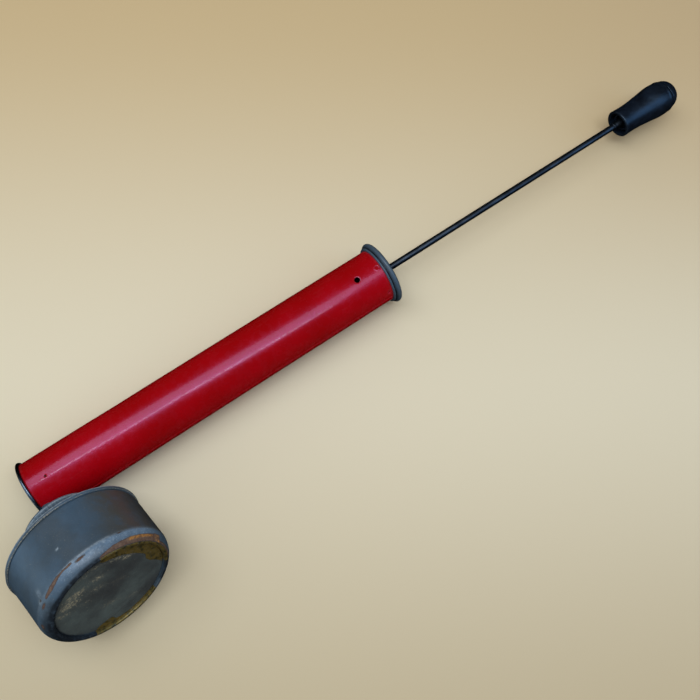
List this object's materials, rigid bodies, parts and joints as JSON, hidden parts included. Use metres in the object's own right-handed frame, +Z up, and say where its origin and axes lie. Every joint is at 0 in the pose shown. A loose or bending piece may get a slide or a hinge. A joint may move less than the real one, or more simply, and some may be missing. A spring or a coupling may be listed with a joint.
{
  "type": "hand-pump insecticide sprayer",
  "caption": "Vintage hand-pump sprayer with a red tinplate barrel, a pull-out plunger with a black handle, and a round slate-blue can screwed under its front end.",
  "frame": {"origin": "centre of the bounding box in X and Y, on the surface the sprayer lies on", "axes": "+X along the barrel, the direction of spray, away from the handle; +Z up from the surface the sprayer lies on; +Y to the side on which the can lies"},
  "size_m": [0.593, 0.1264, 0.0955],
  "materials": {
    "red_enamel": "glossy red stoving enamel on tinplate, lightly scuffed",
    "slate_paint": "satin slate-blue paint with rust and scuffs at the edges",
    "bottom_paint": "worn dark greenish-grey paint, scratched, corroded at its edge",
    "rim_steel": "tarnished rolled steel bead",
    "tinplate": "plain tinplate, dull",
    "dark_steel": "darkened, lightly oiled steel",
    "spring_steel": "blued spring steel",
    "brass": "aged turned brass",
    "leather": "oiled brown cup leather",
    "felt": "oiled grey-brown felt",
    "rubber": "black rubber",
    "black_bakelite": "moulded black phenolic, polished by handling, scuffed at the end"
  },
  "bodies": {
    "pump": {"barrel_tube": "red_enamel", "front_rim": "rim_steel", "rear_cap": "slate_paint", "guide_bush": "brass", "guide_felt": "felt", "felt_retainer": "tinplate", "bulkhead": "tinplate", "bulkhead_pin": "dark_steel", "air_nozzle": "brass", "siphon_tube": "brass", "cap_saddle": "slate_paint", "screw_cap": "slate_paint"},
    "piston": {"piston_hub": "brass", "piston_back_plate": "tinplate", "piston_cup": "leather", "cup_spreader": "spring_steel", "piston_front_plate": "tinplate"},
    "rod": {"plunger_rod": "dark_steel", "rod_collar": "dark_steel", "rod_washer": "tinplate", "rod_nut": "dark_steel", "rod_ferrule": "dark_steel", "handle": "black_bakelite", "handle_plug": "black_bakelite", "handle_pin": "dark_steel"},
    "can_seal": {"can_gasket": "rubber"},
    "can": {"can_neck": "slate_paint", "can_top": "slate_paint", "can_rim": "slate_paint", "can_body": "slate_paint", "can_bottom": "bottom_paint"}
  },
  "joints": [
    {"name": "plunger_slide", "type": "slide", "parent": "pump", "child": "piston", "axis": [1, 0, -0.0074], "range_m": [0, 0.215]},
    {"name": "rod_turn", "type": "hinge", "parent": "piston", "child": "rod", "pos_m": [-0.01848, -0.03943, 0.02381], "axis": [1, 0, -0.0074], "continuous": true},
    {"name": "can_travel", "type": "slide", "parent": "pump", "child": "can_seal", "axis": [-0.164, 0.9099, 0.3811], "range_m": [0, 0.0051]},
    {"name": "can_turn", "type": "hinge", "parent": "can_seal", "child": "can", "pos_m": [0.26071, -0.03943, 0.02175], "axis": [-0.164, 0.9099, 0.3811], "range_deg": [0, 720]}
  ],
  "couplings": [
    {"joint": "can_travel", "follows": "can_turn", "m_per_rad": 0.00039789}
  ]
}
